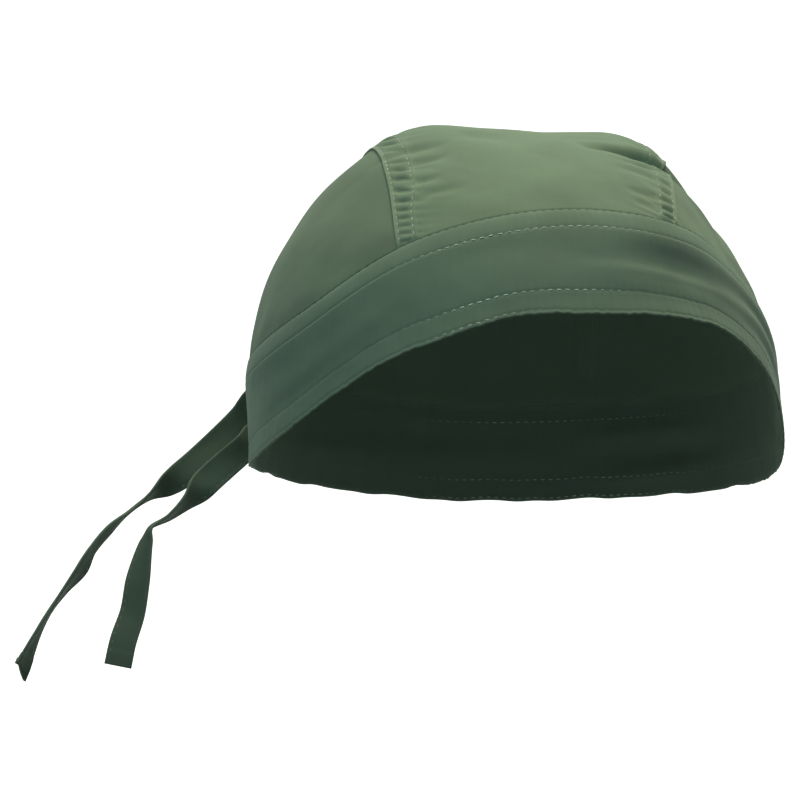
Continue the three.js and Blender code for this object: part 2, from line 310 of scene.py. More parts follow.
def band_inside(up):
    """Inner face under the smooth cloth, which comes out to meet the outer one where the band thins."""
    return BAND_INSIDE + (RIM_INSIDE - BAND_INSIDE) * smooth_step(1 - up / RIM_THINNING)


def add_object(name, data):
    """Puts an object with its mesh, light or camera into the scene."""
    thing = bpy.data.objects.new(name, data)
    bpy.context.scene.collection.objects.link(thing)
    return thing


def add_piece(name, mesh, wear_and_painted_light):
    """Puts a mesh into the scene, smoothly shaded, with its points' wear: real wear on cloth, and on thread
    how far it shows, which its material paints as light and shade.
    """
    mesh.shade_smooth()
    worn_and_lit = mesh.attributes.new("wear_and_painted_light", "FLOAT", "POINT").data
    worn_and_lit.foreach_set("value", wear_and_painted_light.astype(np.float32).ravel())
    return add_object(name, mesh)


def ring_mesh(name, rings, along, across, wear_and_painted_light, closed=False):
    """Cloth wall as closed rings of points carried along a path: quads between neighbouring rings, and, at
    the ends of an open path, quads from the ring's first half to its second. along and across are lengths
    of cloth in metres and become the UV map; wear goes to the points."""
    count, size = rings.shape[:2]
    i, j = np.meshgrid(np.arange(count if closed else count - 1), np.arange(size), indexing="ij")
    rows = np.stack([i, i + 1, i + 1, i], -1).reshape(-1, 4)
    columns = np.stack([j, j, j + 1, j + 1], -1).reshape(-1, 4)
    if not closed:
        k = np.arange(size // 2 - 1)
        lid = np.stack([k, k + 1, size - 2 - k, size - 1 - k], -1)
        rows = np.concatenate([rows, np.zeros_like(lid), np.full_like(lid, count - 1)])
        columns = np.concatenate([columns, lid, lid[:, ::-1]])
    mesh = bpy.data.meshes.new(name)
    faces = (rows % count) * size + columns % size
    mesh.vertices.add(count * size)
    mesh.vertices.foreach_set("co", rings.astype(np.float32).ravel())
    mesh.loops.add(faces.size)
    mesh.loops.foreach_set("vertex_index", faces.astype(np.int32).ravel())
    mesh.polygons.add(len(faces))
    mesh.polygons.foreach_set("loop_start", np.arange(0, faces.size, 4, dtype=np.int32))
    mesh.update(calc_edges=True)
    chart = np.stack([along[rows], across[columns]], -1)
    mesh.uv_layers.new(name="cloth").uv.foreach_set("vector", chart.astype(np.float32).ravel())
    return add_piece(name, mesh, wear_and_painted_light)


def lengths(points):
    """Running length along a line of points, from 0."""
    steps = np.linalg.norm(np.diff(points, axis=0), axis=-1)
    return np.concatenate([[0], np.cumsum(steps)])


def ring_share(outer, inner):
    """Share of the outer face round a ring of points: 1 outside, 0 inside, half a cosine round each edge."""
    away = (1 + cos(bend_round)) / 2
    back = (1 - cos(bend_round)) / 2
    return np.concatenate([np.ones(len(outer)), away, np.zeros(len(inner)), back])


# the band's grid: columns round the head, steps up each face, and closer steps beside each row of stitches
BAND_COLUMNS = 1080
OUTER_STEPS = 36
INNER_STEPS = 24
BESIDE_ROW = np.array([-0.9, -0.45, -0.2, 0, 0.2, 0.45, 0.9]) * MM
GIRTH_STEP = 30
# its rubbed edges: width, distance of the upper one below the seam, and share outside
RUB_WIDTH = 0.9 * MM
EDGE_RUB_BELOW = 1.2 * MM
OUTER_RUB = 0.4

band_turn = np.linspace(-pi, pi, BAND_COLUMNS, endpoint=False)[:, None]
even_up = np.linspace(EDGE_ROUND, BAND_WIDTH - EDGE_ROUND, OUTER_STEPS)
outer_up = np.concatenate([even_up, (BAND_ROWS[:, None] + BESIDE_ROW).ravel()])
outer_up = np.unique(np.clip(outer_up, EDGE_ROUND, BAND_WIDTH - EDGE_ROUND))
inner_up = np.linspace(BAND_WIDTH - EDGE_ROUND, EDGE_ROUND + RIM_BEVEL, INNER_STEPS)
bend_round = np.linspace(0, pi, 5)[1:-1]
bevel = RIM_BEVEL * (1 + cos(bend_round)) / 2
band_up = np.concatenate([
    outer_up,
    BAND_WIDTH - EDGE_ROUND + EDGE_ROUND * sin(bend_round),
    inner_up,
    EDGE_ROUND - EDGE_ROUND * sin(bend_round) + bevel,
])
band_share = ring_share(outer_up, inner_up)
band_inner = band_inside(band_up) + band_bend(band_turn, band_up)
band_outer = band_face(band_turn, band_up)
band_height = band_inner + band_share * (band_outer - band_inner)
band_points = band_place(band_turn, band_up)
band_points = band_points + band_normal(band_turn, band_up) * band_height[..., None]
rim_rub = exp(-band_up / RUB_WIDTH)
edge_rub = bell(BAND_WIDTH - band_up - EDGE_RUB_BELOW, RUB_WIDTH)
band_wear = band_share * OUTER_RUB * (rim_rub + edge_rub) + (1 - band_share) * edge_rub
band_wear = np.broadcast_to(band_wear, band_height.shape)
band_girth = lengths(np.concatenate([band_points[:, GIRTH_STEP], band_points[:1, GIRTH_STEP]]))
band_chart = np.concatenate([band_up, band_up[:1]])
head_band = ring_mesh("band", band_points, band_girth, band_chart, band_wear, closed=True)


def linear(colour):
    """sRGB hex to linear red, green, blue and alpha."""
    value = np.array([int(colour[k:k + 2], 16) for k in (1, 3, 5)]) / 255
    value = np.where(value <= 0.04045, value / 12.92, ((value + 0.055) / 1.055) ** 2.4)
    return (*value, 1.0)


def add_node(tree, kind, inputs=None, output=0, **settings):
    """Adds a shader node with its settings, sets or links each input, and returns one of its outputs."""
    node = tree.nodes.new("ShaderNode" + kind)
    for name, value in settings.items():
        setattr(node, name, value)
    for name, value in (inputs or {}).items():
        if isinstance(value, bpy.types.NodeSocket):
            tree.links.new(value, node.inputs[name])
        else:
            node.inputs[name].default_value = value
    return node.outputs[output] if node.outputs else None


def empty_material(name):
    """New material, and its node tree with no nodes in it."""
    material = bpy.data.materials.new(name)
    material.use_nodes = True
    material.node_tree.nodes.clear()
    return material, material.node_tree


# Cotton poplin, piece-dyed: a close plain weave, matt, with faint slubs along its threads, uneven dye, and a
# little paler where a fold or an edge has rubbed. Threads 0.28 mm apart are drawn at 0.5 mm, to show.
THREAD_SPACING = 0.5 * MM
SLUB_WIDTH = 0.9 * MM
SLUB_LENGTH = 14 * MM
SLUB_SHADE = 0.16
DYE_PATCH = 24 * MM
CLOTH_RIPPLE = 11 * MM


def poplin(name, deep, pale, rubbed):
    """Material of woven cotton between two dye shades. The weave's height is the root of |sin(u) sin(v)|,
    one bump for each crossing of threads."""
    material, tree = empty_material(name)
    chart = add_node(tree, "UVMap", uv_map="cloth")
    place = add_node(tree, "TexCoord", output="Object")
    turns = pi / THREAD_SPACING
    threads = add_node(tree, "Mapping", {"Vector": chart, "Scale": (turns, turns, 1)})
    apart = add_node(tree, "SeparateXYZ", {"Vector": threads}).node.outputs
    warp = add_node(tree, "Math", {0: apart["X"]}, operation="SINE")
    weft = add_node(tree, "Math", {0: apart["Y"]}, operation="SINE")
    crossing = add_node(tree, "Math", {0: warp, 1: weft}, operation="MULTIPLY")
    over = add_node(tree, "Math", {0: crossing}, operation="ABSOLUTE")
    weave = add_node(tree, "Math", {0: over, 1: 0.5}, operation="POWER")
    slubs = []
    for scale in ((1 / SLUB_LENGTH, 1 / SLUB_WIDTH, 1), (1 / SLUB_WIDTH, 1 / SLUB_LENGTH, 1)):
        stretched = add_node(tree, "Mapping", {"Vector": chart, "Scale": scale})
        slubs.append(add_node(tree, "TexNoise", {"Vector": stretched, "Scale": 1.0, "Detail": 2.0}, "Fac"))
    slub = add_node(tree, "Math", {0: slubs[0], 1: slubs[1]}, operation="ADD")
    patch = add_node(tree, "TexNoise", {"Vector": place, "Scale": 1 / DYE_PATCH, "Detail": 3.0}, "Fac")
    shade = add_node(tree, "Math", {0: slub, 1: SLUB_SHADE, 2: patch}, operation="MULTIPLY_ADD")
    depth = add_node(tree, "MapRange", {"Value": shade, "From Min": 0.41, "From Max": 0.91})
    dyed = add_node(tree, "Mix", {0: depth, 6: linear(deep), 7: linear(pale)}, 2, data_type="RGBA")
    rub = add_node(tree, "Attribute", output="Fac", attribute_name="wear_and_painted_light")
    rubbing = add_node(tree, "Math", {0: rub, 1: depth}, operation="MULTIPLY")
    colour = add_node(tree, "Mix", {0: rubbing, 6: dyed, 7: linear(rubbed)}, 2, data_type="RGBA")
    matt_range = {"From Min": 0.3, "From Max": 0.7, "To Min": 0.84, "To Max": 0.94}
    matt = add_node(tree, "MapRange", {"Value": patch, **matt_range})
    ripple = add_node(tree, "TexNoise", {"Vector": place, "Scale": 1 / CLOTH_RIPPLE, "Detail": 1.0}, "Fac")
    # relief from broad to fine: height, strength and depth
    relief = [(ripple, 0.5, 1.0 * MM), (slub, 0.16, 0.08 * MM), (weave, 0.14, 0.05 * MM)]
    normal = {}
    for height, strength, distance in relief:
        bump = {"Height": height, "Strength": strength, "Distance": distance, **normal}
        normal = {"Normal": add_node(tree, "Bump", bump)}
    shader = add_node(tree, "BsdfPrincipled", {
        "Base Color": colour,
        "Roughness": matt,
        "IOR": 1.53,
        "Specular IOR Level": 0.2,
        "Sheen Weight": 0.06,
        "Sheen Roughness": 0.5,
        "Sheen Tint": linear("#c9d6bf"),
        **normal,
    })
    add_node(tree, "OutputMaterial", {"Surface": shader})
    return material


# Core-spun sewing thread, two plies twisted: a little glossier than the cloth. Its colour is painted: pale
# as a highlight where it lies on top, dark as painted shade where it has sunk in, with random patches
# between. The plies are 0.35 mm apart along it.
PLY_SPACING = 0.35 * MM
FADING_PATCH = 6 * MM
# Blender's wave texture has 20 bands in a turn of its scale
WAVE_BANDS = 20
sewing_thread, thread_tree = empty_material("sewing_thread")
thread_place = add_node(thread_tree, "TexCoord", output="Object")
ply_scale = 2 * pi / (WAVE_BANDS * PLY_SPACING)
plies = add_node(
    thread_tree, "TexWave", {"Vector": thread_place, "Scale": ply_scale, "Distortion": 0.0}, "Fac",
    bands_direction="DIAGONAL",
)
twist = add_node(thread_tree, "Bump", {"Height": plies, "Strength": 0.4, "Distance": 0.05 * MM})
patches = {"Vector": thread_place, "Scale": 1 / FADING_PATCH, "Detail": 2.0}
fading = add_node(thread_tree, "TexNoise", patches, "Fac")
# how far the thread lies on top, which is painted on it as light
thread_painted_light = add_node(thread_tree, "Attribute", output="Fac", attribute_name="wear_and_painted_light")
thread_tone_and_light = add_node(
    thread_tree, "Math", {0: fading, 1: thread_painted_light, 2: thread_painted_light},
    operation="MULTIPLY_ADD", use_clamp=True,
)
# from a dark painted shade, where the thread has sunk in, to a pale painted highlight, where it lies on top
thread_shade_and_highlight = {0: thread_tone_and_light, 6: linear("#35453b"), 7: linear("#d8e4d6")}
thread_colour = add_node(thread_tree, "Mix", thread_shade_and_highlight, 2, data_type="RGBA")
thread_looks = {"Base Color": thread_colour, "Roughness": 0.6, "IOR": 1.5, "Normal": twist}
thread_shader = add_node(thread_tree, "BsdfPrincipled", thread_looks)
add_node(thread_tree, "OutputMaterial", {"Surface": thread_shader})

STITCH_PITCH = 2.75 * MM
STITCH_LENGTH = 1.95 * MM
THREAD_RADIUS = 0.19 * MM
STITCH_STEPS = 5
THREAD_SIDES = 5
TIP_THICKNESS = 0.05
# in radii of the thread: lift where it shows fully, depth where it doesn't, and depth of every stitch's ends
SHOW_LIFT = 1.5
THREAD_SINK = 0.7
TIP_SINK = 1.3
# how evenly a row shows, and two slow waves along it
EVEN_SHOW = 0.8
SHOW_WAVES = (19 * MM, 5.3 * MM)


def stitches(name, rows):
    """Rows of lockstitch as one piece. A row is a line of points on the cloth, its normals, and how far the
    thread shows, from 0, sunk in, to 1, lying on top. Each stitch is an arc of round thread whose thin ends
    sink into the cloth; two slow sine waves along the row make it show unevenly."""
    along = np.linspace(-1, 1, STITCH_STEPS)
    around = np.linspace(0, 2 * pi, THREAD_SIDES, endpoint=False)
    thick = THREAD_RADIUS * np.sqrt(1 + TIP_THICKNESS - along ** 2)
    threads = []
    wear_and_painted_light = []
    for line, normal, shows in rows:
        run = lengths(line)
        count = int(run[-1] // STITCH_PITCH)
        middle = (np.arange(count) + 0.5) * run[-1] / count
        at = middle[:, None] + along * STITCH_LENGTH / 2
        point, out = (
            np.stack([np.interp(at, run, v[:, k]) for k in range(3)], -1) for v in (line, normal)
        )
        way = unit(np.gradient(point, axis=1))
        side = np.cross(out, way)
        spin = cos(around)[:, None] * side[:, :, None] + sin(around)[:, None] * out[:, :, None]
        waves = sin(middle / SHOW_WAVES[0]) * sin(middle / SHOW_WAVES[1] + 1)
        uneven = EVEN_SHOW + (1 - EVEN_SHOW) * waves
        show = np.interp(middle, run, np.broadcast_to(shows, run.shape)) * uneven
        lift = THREAD_RADIUS * (SHOW_LIFT * show[:, None] - THREAD_SINK - TIP_SINK * along ** 4)
        threads.append((point + out * lift[..., None])[:, :, None] + spin * thick[:, None, None])
        # the thread's material paints this as light: a pale highlight where it shows, dark shade where it
        # has sunk in
        wear_and_painted_light.append(np.repeat(show, along.size * around.size))
    rings = np.concatenate(threads)
    total, steps, sides = rings.shape[:3]
    i, j = np.meshgrid(np.arange(steps - 1) * sides, np.arange(sides), indexing="ij")
    next_j = (j + 1) % sides
    quads = np.stack([i + j, i + next_j, i + sides + next_j, i + sides + j], -1)
    first = np.arange(total)[:, None] * steps * sides
    quads = (first[..., None] + quads.reshape(1, -1, 4)).reshape(-1, 4)
    tips = np.concatenate([
        first + np.arange(sides)[::-1],
        first + (steps - 1) * sides + np.arange(sides),
    ])
    mesh = bpy.data.meshes.new(name)
    mesh.from_pydata(rings.reshape(-1, 3), [], quads.tolist() + tips.tolist())
    mesh.materials.append(sewing_thread)
    piece = add_piece(name, mesh, np.concatenate(wear_and_painted_light))
    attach(piece, "root")
    return piece


# how far thread shows, which lifts it and paints it from dark shade to a pale highlight: where it is near
# the cloth's own colour, what the nape adds, and what the back adds inside, with the middle and half width
# of that stretch
NEUTRAL_SHOW = 0.13
NAPE_SHOW = 0.3
INSIDE_SHOW = 0.4
INSIDE_MIDDLE = np.radians(160)
INSIDE_HALF = np.radians(26)
JOIN_SHOW = 0.8
# the brow's stretch: middle and half width in degrees
BROW = (-5, 27)
# each row over the brow: how far its thread shows, and the middle and half width of its own stretch
ROW_SHOWS = [(0, *BROW), (1, *BROW), (0.8, -7, 21), (0.5, -16, 13)]
ROW_POINTS = 900
JOIN_POINTS = 60
JOIN_MARGIN = 2 * MM
BESIDE_JOIN = 1.8 * MM


def band_row(angle, up, shows, middle, half, inside=False):
    """Line of points on the band's outer or inner face, with the normals that point away from the cloth. The
    thread shows most over the brow, as a bell of the angle with its middle and half width in degrees, and
    less at the back; inside, only at the back."""
    angle, up = np.broadcast_arrays(angle, up)
    out = band_normal(angle, up)
    if inside:
        height = band_inside(up) + band_bend(angle, up)
        back = exp(-(turn_from(angle, INSIDE_MIDDLE) / INSIDE_HALF) ** 4)
        shows = NEUTRAL_SHOW + INSIDE_SHOW * back
    else:
        height = band_face(angle, up)
        brow = exp(-((angle - np.radians(middle)) / np.radians(half)) ** 4)
        shows = shows * (NEUTRAL_SHOW + (1 - NEUTRAL_SHOW) * brow + NAPE_SHOW * nape(angle))
    return band_place(angle, up) + out * height[..., None], -out if inside else out, shows


whole_turn = np.linspace(-pi, pi, ROW_POINTS)
up_the_band = np.linspace(JOIN_MARGIN, BAND_WIDTH - JOIN_MARGIN, JOIN_POINTS)
beside_join = JOIN_ANGLE + BESIDE_JOIN / BAND_RADIUS
band_rows = [band_row(whole_turn, up, *shows) for up, shows in zip(BAND_ROWS, ROW_SHOWS)]
band_rows += [band_row(whole_turn, up, 0, *BROW, inside=True) for up in BAND_ROWS[1:]]
band_rows += [band_row(beside_join, up_the_band, JOIN_SHOW, *BROW, inside) for inside in (False, True)]
band_stitching = stitches("band_stitching", band_rows)

# the band's poplin is a darker, bluer copy of the crown's: painted shade for its steep faces, turned from
# the light overhead
head_band.data.materials.append(poplin("olive_poplin_band_painted_shade", "#667c69", "#728a78", "#8fa38b"))
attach(head_band, "root")
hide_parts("head_band")

# Crown centre panel: a strip of the same poplin over the head, from the band's front to its back. Its long
# edges are folded under and felled over the side panels with two rows of stitches, which pucker the cloth.
PANEL_HALF = 46 * MM
PANEL_PROBE = 1e-3
CROWN_WALL = 0.7 * MM

# its edges, left and right: distance from the middle over the top, and at the widest level
EDGE_TOP = {-1: 42 * MM, 1: 47 * MM}
EDGE_FRONT = {-1: 50.5 * MM, 1: 39.5 * MM}
EDGE_BACK = {-1: 46 * MM, 1: 46 * MM}
EDGE_POINTS = 721
LEAN_LIMIT = 1.2
ARCH_START = 0.02

# where the crown is caught in the band: length and depth caught, rippled start and run of the dip, thickness
# and reach of the allowance turned up inside
TUCK = 1 * MM
TUCK_DEPTH = 0.4 * MM
TUCK_START = 0.25 * MM
TUCK_RUN = 0.7 * MM
ALLOWANCE = 0.56 * MM
ALLOWANCE_REACH = 9 * MM

# creases of the crown in plan: from x, y to x, y, half width, raised
CREASES = np.array([
    [60, -30, 17, -40.4, 2.4, -3.5],
    [60, -25.4, 17, -35.8, 2.6, 1.2],
    [66, -35, 34, -41.5, 3.4, 1.8],
    [72, -45, 72, 45, 8, 1.2],
    [67, -45, 67, 45, 5, 0.7],
    [28, -48.6, 47, -41.5, 1.1, -0.9],
    [26, -53, 41, -50, 1.3, -0.6],
    [28, -61.5, 42, -58, 1.2, -0.8],
    [30, -65, 46, -60, 1.2, -0.7],
    [-46, -28, -25, -39.5, 2.2, -1.5],
    [-41, -42, -24, -46.5, 1.8, -1.0],
    [-41, -51, -28, -55.5, 1.4, -0.8],
    [-41, -57, -22, -62.5, 1.4, -0.6],
    [-22, -32, -4, -38, 4.5, -1.0],
    [-53, -7, -45.5, -3, 0.9, -0.8],
    [-39, 40, -24, 47, 2, -0.6],
    [43, 44, 23, 50, 2, -0.6],
    [-42, 66, -26, 72, 1.6, -0.5],
    [44, 62, 27, 70, 1.6, -0.5],
    [-14, 54, 16, 60, 6, -0.7],
]) * MM
CREASE_TAPER = 0.8
CREASE_LEVEL = 35 * MM
CREASE_GROWTH = 40 * MM
SETTLING = 8 * MM
# slack of the cloth: wave height, and waves for each metre along x, y and z
SLACK = [(0.17 * MM, 31, 13, 22), (0.14 * MM, -17, 38, 9), (0.1 * MM, 45, 24, -30)]

crown_edge_angles = np.linspace(-pi, pi, EDGE_POINTS)
crown_edge_rises = rise_above(crown_edge_angles, BAND_WIDTH)


def over_head(arch, lean):
    """Unit directions on the arch from the front (0) to the back (pi), leaning to the right."""
    level = cos(lean)
    return np.stack(np.broadcast_arrays(sin(lean), -level * cos(arch), level * sin(arch)), -1)


def edge_distance(arch, side):
    """Distance of an edge from the middle: the top's, plus the rest of the end's times cos^2 of the arch."""
    end = np.where(arch < pi / 2, EDGE_FRONT[side], EDGE_BACK[side])
    return EDGE_TOP[side] + (end - EDGE_TOP[side]) * cos(arch) ** 2


def edge_lean(arch, side, margin):
    """Lean at which the plain form is the edge's distance plus a margin from the middle: found by halving at
    even steps of the arch, and in a straight line between them."""
    steps = np.linspace(0, pi, EDGE_POINTS)
    distance = edge_distance(steps, side) + margin
    leans = halving(0, LEAN_LIMIT, lambda lean: sin(lean) * form_reach(over_head(steps, lean)) < distance)
    return np.interp(arch, steps, leans)


def above_band(way):
    """Height up the cloth above the band's upper edge, as the elevation above it times the reach."""
    angle = np.arctan2(way[..., 0], -way[..., 1])
    rise = np.arctan2(way[..., 2], np.hypot(way[..., 0], way[..., 1]))
    edge = np.interp(angle, crown_edge_angles, crown_edge_rises)
    return (rise - edge) * form_reach(way)


def arch_ends(line, margin):
    """Arch angles at which lines over the head come down to a margin above the band, in front and behind."""
    return [
        halving(start, pi / 2, lambda arch: above_band(line(arch)) < margin)
        for start in (ARCH_START, pi - ARCH_START)
    ]


def tucked(way):
    """1 where the crown is caught in the band and 0 just above it, along a rippled line."""
    start = TUCK_START * (1 - seam_ripple(np.arctan2(way[..., 0], -way[..., 1])))
    return smooth_step((start - above_band(way)) / TUCK_RUN)


def crown_relief(way):
    """Small folds of the crown over the smooth cloth: slack as a sum of slow sine waves, each crease as a
    bell across its line and half a wave along it, all settling towards the band, ripples beside it, and the
    dip of the edge that is caught in it."""
    x, y, z = np.moveaxis(way * form_reach(way)[..., None], -1, 0)
    relief = sum(h * sin(2 * pi * (a * x + b * y + c * z)) for h, a, b, c in SLACK)
    upper = smooth_step((z - CREASE_LEVEL) / CREASE_GROWTH)
    for x0, y0, x1, y1, reach, raised in CREASES:
        run = np.hypot(x1 - x0, y1 - y0)
        t = ((x - x0) * (x1 - x0) + (y - y0) * (y1 - y0)) / run ** 2
        off = ((x - x0) * (y1 - y0) - (y - y0) * (x1 - x0)) / run
        tapered = sin(pi * np.clip(t, 0, 1)) ** CREASE_TAPER
        relief = relief + upper * raised * tapered * bell(off, reach)
    above = above_band(way)
    relief = relief * smooth_step((above + TUCK) / SETTLING)
    ripple = seam_ripple(np.arctan2(x, -y))
    relief = relief + RIPPLE * ripple * exp(-np.maximum(above, 0) / RIPPLE_FADE)
    caught = tucked(way)
    return relief * (1 - caught) - TUCK_DEPTH * caught


def seam_allowance(way):
    """Extra thickness inside the crown along the band, where its edge is turned up: it fades upwards, and
    takes no part in the tuck of the outer face."""
    return ALLOWANCE * smooth_step(1 - above_band(way) / ALLOWANCE_REACH) - TUCK_DEPTH * tucked(way)


def by_side(side, pair):
    """The left value of a pair where side is negative, and the right one elsewhere."""
    return np.where(side < 0, pair[-1], pair[1])


def panel_lean(arch, across):
    """Lean of the panel's left or right edge, whichever is on the side that across is on."""
    return by_side(across, {side: edge_lean(arch, side, 0) for side in (-1, 1)})


def panel_way(arch, across):
    """Directions over the panel, with across from -1 at its left edge to 1 at its right."""
    return over_head(arch, across * panel_lean(arch, across))


def panel_place(arch, across):
    """Smooth cloth under the panel."""
    return cloth(panel_way(arch, across))


def panel_normal(arch, across):
    """Unit normals of the smooth cloth under the panel, outwards."""
    return -surface_normal(panel_place, arch, across, PANEL_PROBE, PANEL_PROBE)


# felled strip along each edge: heights of its faces, radius of its fold, rows of stitches in from the fold,
# widening of the left one over a run up from the band, and how it comes free of the band and meets the panel
FELL_PROUD = 0.45 * MM
FELL_INSIDE = -0.2 * MM
FELL_ROUND = 0.3 * MM
FELL_DIP = 0.2 * MM
FIRST_ROW = 0.9 * MM
SECOND_ROW = 5.8 * MM
FELL_WIDENING = {-1: 1.6 * MM, 1: 0}
WIDENING_FROM = 12 * MM
WIDENING_RUN = 12 * MM
FELL_FREE = 2 * MM
FELL_MARGIN = 1.8 * MM
FELL_STEP = 1.6 * MM
FOLD_LIFT = 0.35 * MM
FOLD_LIFT_REACH = 2.2 * MM
FOLD_LIFT_GROWTH = 20 * MM

# puckers of the strip, left and right: depth, and slant in turns for each metre in from the fold
PUCKER = {-1: 0.9 * MM, 1: 1.2 * MM}
PUCKER_SLANT = {-1: -110, 1: 100}
# pitch at the band, height in which it doubles, share that rises, sharpness, and reach past the second row
PUCKER_START = 3 * MM
PUCKER_REACH = 30 * MM
PUCKER_CREST = 0.4
PUCKER_SHARPNESS = 1.1
PUCKER_PAST_ROW = 0.4 * MM
# sways of their phase: wave up the seam, depth, and start on the right
PUCKER_SWAYS = [(5.5 * MM, 1, 1.7), (9 * MM, 0.7, 0)]
# unevenness of their depth: middle and swing, wave up the seam, and start on the right
PUCKER_DEPTH = (0.75, 0.35)
PUCKER_DEPTH_WAVE = 8 * MM
PUCKER_DEPTH_START = 2
# what runs on into the panel: share, fade and start
BEYOND_SHARE = 0.5
BEYOND_FADE = 5 * MM
BEYOND_START = 1.5 * MM


def second_row(above, side):
    """Distance of the second row of stitches from the fold, which on the left grows towards the top."""
    return SECOND_ROW + by_side(side, FELL_WIDENING) * smooth_step((above - WIDENING_FROM) / WIDENING_RUN)


def panel_faces(arch, across):
    """Outer and inner face of the centre panel over the smooth cloth: the crown's small folds, with a felled
    strip along each edge. The strip stands proud, lifts at its fold and dips under two rows of stitches. Its
    puckers are narrow valleys, an exponential of a cosine, whose pitch grows with the height above the band,
    and which fade into the panel."""
    way = panel_way(arch, across)
    side = np.sign(across)
    inset = (1 - np.abs(across)) * panel_lean(arch, across) * form_reach(way)
    above = np.maximum(above_band(way), 0)
    free = smooth_step(above / FELL_FREE)
    inner_row = second_row(above, side)
    strip = smooth_step((inner_row + FELL_MARGIN - inset) / FELL_STEP)
    lifted = exp(-np.maximum(inset, 0) / FOLD_LIFT_REACH) * smooth_step(above / FOLD_LIFT_GROWTH)
    outer = FELL_PROUD * strip + FOLD_LIFT * lifted
    for row in (FIRST_ROW, inner_row):
        outer = outer - FELL_DIP * bell(inset - row, ROW_HALF)
    turns = PUCKER_REACH / PUCKER_START * np.log1p(above / PUCKER_REACH)
    turns = turns - inset * by_side(side, PUCKER_SLANT)
    sway = sum(depth * sin(above / wave + start * side) for wave, depth, start in PUCKER_SWAYS)
    sharp = exp(-PUCKER_SHARPNESS * (1 + cos(2 * pi * turns + sway)))
    valley = PUCKER_CREST - (1 + PUCKER_CREST) * sharp
    middle = (FIRST_ROW + inner_row) / 2
    between = np.maximum(1 - ((inset - middle) / (inner_row + PUCKER_PAST_ROW - middle)) ** 2, 0)
    past = inset - inner_row
    beyond = BEYOND_SHARE * exp(-np.maximum(past, 0) / BEYOND_FADE) * smooth_step(past / BEYOND_START)
    swing = sin(above / PUCKER_DEPTH_WAVE + PUCKER_DEPTH_START * side)
    depth = by_side(side, PUCKER) * (PUCKER_DEPTH[0] + PUCKER_DEPTH[1] * swing)
    outer = outer + depth * valley * (between + beyond)
    inner = -CROWN_WALL + (FELL_INSIDE + CROWN_WALL) * strip * free - seam_allowance(way)
    return crown_relief(way) + free * outer, crown_relief(way) + inner


# the panel's grid: share and steps of the strip along each edge, steps between, share and rows of the tuck
# at each end, rows between; and the share rubbed at the folds
FELL_SHARE = 0.2
FELL_STEPS = 25
MIDDLE_STEPS = 56
TUCK_SHARE = 0.016
TUCK_ROWS = 10
PANEL_ROWS = 370
FOLD_RUB = 0.012

edge_share = np.linspace(0, FELL_SHARE, FELL_STEPS)
middle_across = np.linspace(1 - FELL_SHARE, FELL_SHARE - 1, MIDDLE_STEPS)[1:-1]
outer_across = np.concatenate([1 - edge_share, middle_across, edge_share[::-1] - 1])
inner_across = outer_across[::-1]
fold_reach = FELL_ROUND / PANEL_HALF * sin(bend_round)
panel_across = np.concatenate([outer_across, -1 - fold_reach, inner_across, 1 + fold_reach])
panel_share = ring_share(outer_across, inner_across)
panel_front, panel_nape = arch_ends(lambda arch: panel_way(arch, panel_across), -TUCK)
tuck_share = np.linspace(0, TUCK_SHARE, TUCK_ROWS)
middle_run = np.linspace(TUCK_SHARE, 1 - TUCK_SHARE, PANEL_ROWS)
panel_run = np.concatenate([tuck_share[:-1], middle_run, 1 - tuck_share[::-1][1:]])
panel_arch = panel_front + (panel_nape - panel_front) * panel_run[:, None]
panel_cross = np.broadcast_to(panel_across, panel_arch.shape)
panel_outer, panel_inner = panel_faces(panel_arch, panel_cross)
panel_height = panel_inner + panel_share * (panel_outer - panel_inner)
panel_points = panel_place(panel_arch, panel_cross)
panel_points = panel_points + panel_normal(panel_arch, panel_cross) * panel_height[..., None]
panel_wear = panel_share * exp(-np.abs(1 - np.abs(panel_cross)) / FOLD_RUB)
panel_length = lengths(panel_points[:, len(outer_across) // 2])
panel_chart = np.concatenate([panel_across, panel_across[:1]]) * PANEL_HALF
crown_panel = ring_mesh("crown_center", panel_points, panel_length, panel_chart, panel_wear)

# rows of stitches along the strips: how far the thread shows, depth of relief at which it is sunk and
# painted dark as shade in the creases, where the rows end; and the side panel's lap under the strip, which
# the inner rows lie on
FELL_SHOW = 0.5
SUNK_DEPTH = 1.5 * MM
ROW_END = 1.5 * MM
ROW_END_ACROSS = 0.94
FELL_ROW_POINTS = 500
LAP_DROP = 0.3 * MM
LAP_INSIDE = LAP_DROP + CROWN_WALL


def panel_row(side, row, inside=False):
    """Line along one long edge of the centre panel, on the first or second row of stitches in from its fold,
    with the normals. Inside, it lies on the side panel's lap, and the thread shows little."""
    front, nape_end = arch_ends(lambda arch: panel_way(arch, np.full(1, ROW_END_ACROSS * side)), ROW_END)
    arch = front + (nape_end - front) * np.linspace(0, 1, FELL_ROW_POINTS)
    lean = edge_lean(arch, side, 0)
    edge = over_head(arch, side * lean)
    inset = second_row(above_band(edge), side) if row else FIRST_ROW
    across = side * (1 - inset / (lean * form_reach(edge)))
    out = panel_normal(arch, across)
    relief = crown_relief(panel_way(arch, across))
    height = relief - LAP_INSIDE if inside else panel_faces(arch, across)[0]
    # thread in deep creases shows less, which paints it dark: painted shade
    shows = NEUTRAL_SHOW if inside else FELL_SHOW * (1 - smooth_step(-relief / SUNK_DEPTH))
    return panel_place(arch, across) + out * height[..., None], -out if inside else out, shows


panel_rows = [panel_row(side, row, inside) for side in (-1, 1) for row in (0, 1) for inside in (False, True)]
crown_stitching = stitches("crown_stitching", panel_rows)

